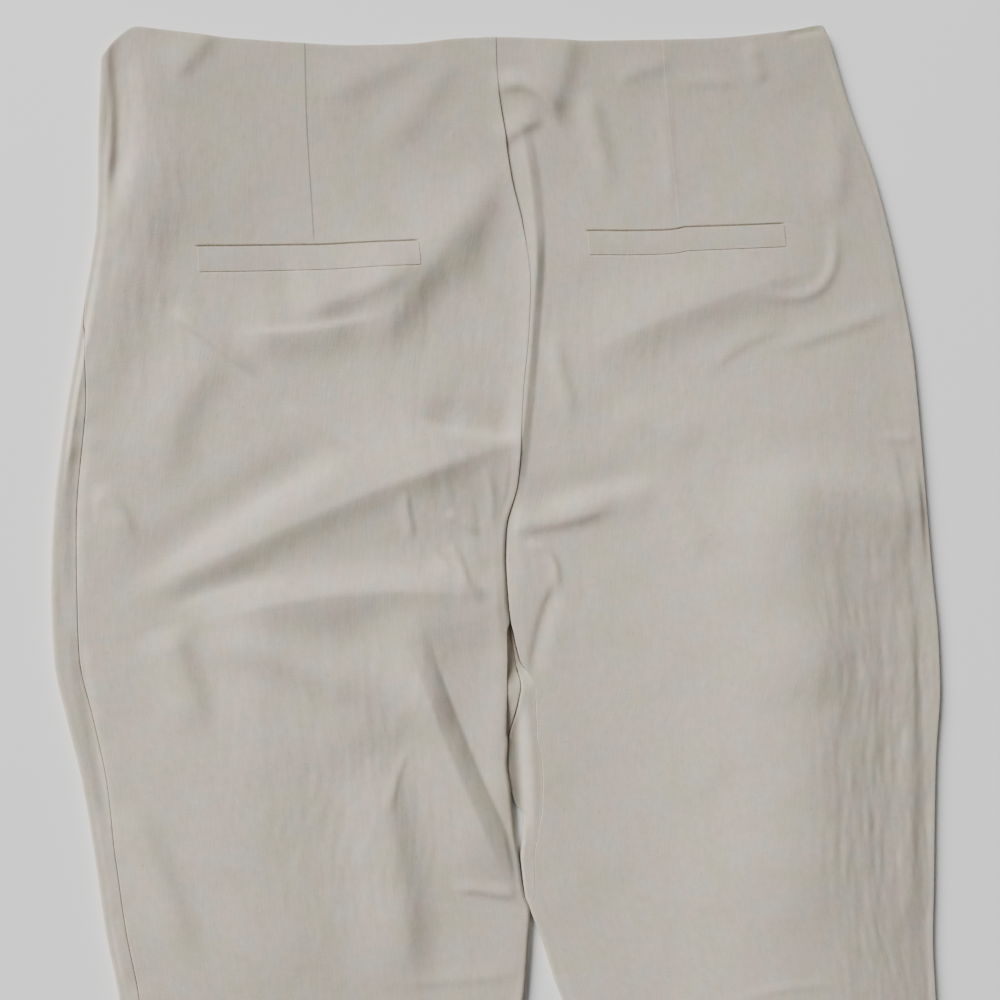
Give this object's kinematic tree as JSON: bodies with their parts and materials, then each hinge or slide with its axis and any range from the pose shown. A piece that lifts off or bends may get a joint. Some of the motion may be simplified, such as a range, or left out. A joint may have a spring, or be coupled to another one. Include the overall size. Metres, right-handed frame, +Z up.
{
  "type": "wide-leg trousers",
  "caption": "Ecru cotton trousers laid flat, back side up, with a plain waist edge, back darts and welt pockets.",
  "frame": {"origin": "middle of the ground that the garment covers, on the surface that it lies on", "axes": "+X across the garment, to the right in the picture; +Y from the hems to the waist; +Z up, out of the garment's back side"},
  "size_m": [0.499, 1.0471, 0.0115],
  "materials": {
    "cloth": "matt ecru cotton twill with fine upright slubs",
    "welt_cloth": "matt ecru cotton twill, pressed flat",
    "thread": "matt sewing thread"
  },
  "bodies": {
    "root": {"back_left": "cloth", "back_right": "cloth", "front_left": "cloth", "front_right": "cloth", "back_welt_left": "welt_cloth", "back_welt_right": "welt_cloth"}
  },
  "joints": []
}
